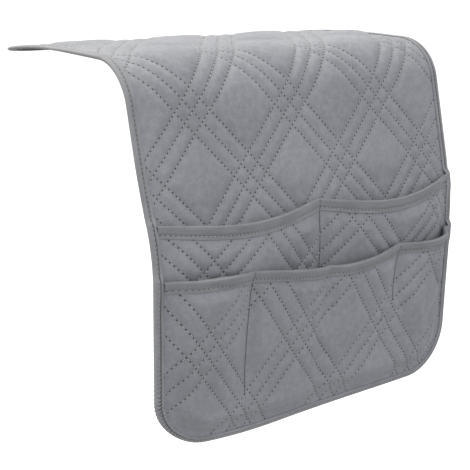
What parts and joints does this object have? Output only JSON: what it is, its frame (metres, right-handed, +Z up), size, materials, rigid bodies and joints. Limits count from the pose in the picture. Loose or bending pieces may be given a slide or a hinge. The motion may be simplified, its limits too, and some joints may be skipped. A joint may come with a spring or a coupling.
{
  "type": "sofa armrest organizer",
  "caption": "Quilted cloth caddy that drapes over a sofa arm: a top panel and a hanging panel with two rows of open pockets, bound at every edge.",
  "frame": {"origin": "middle of the underside of the top panel's flat stretch, where it lies on the armrest", "axes": "X across the width, the pockets face -Y, +Z is up"},
  "size_m": [0.32, 0.2767, 0.3009],
  "materials": {
    "face_fabric": "mid grey microfibre, matt with a soft sheen",
    "wadding": "white polyester wadding",
    "backing": "charcoal non-slip backing cloth",
    "lining": "grey lining cloth",
    "binding": "grey folded tape"
  },
  "bodies": {
    "top_panel": {"top_backing": "backing", "top_wadding": "wadding", "top_face_fabric": "face_fabric", "top_edge_binding": "binding", "shoulder_backing": "backing", "shoulder_wadding": "wadding", "shoulder_face_fabric": "face_fabric", "shoulder_left_binding": "binding", "shoulder_right_binding": "binding"},
    "drop_panel": {"drop_backing": "backing", "drop_wadding": "wadding", "drop_face_fabric": "face_fabric", "drop_edge_binding": "binding", "upper_pocket_lining": "lining", "upper_pocket_wadding": "wadding", "upper_pocket_face_fabric": "face_fabric", "upper_mouth_binding": "binding", "lower_pocket_lining": "lining", "lower_pocket_wadding": "wadding", "lower_pocket_face_fabric": "face_fabric", "lower_mouth_binding": "binding"}
  },
  "joints": [
    {"name": "drape_fold", "type": "hinge", "parent": "top_panel", "child": "drop_panel", "pos_m": [0, -0.05053, -0.00377], "axis": [-1, 0, 0], "range_deg": [0, 75], "deforming": ["shoulder_backing", "shoulder_wadding", "shoulder_face_fabric", "shoulder_left_binding", "shoulder_right_binding"]}
  ]
}
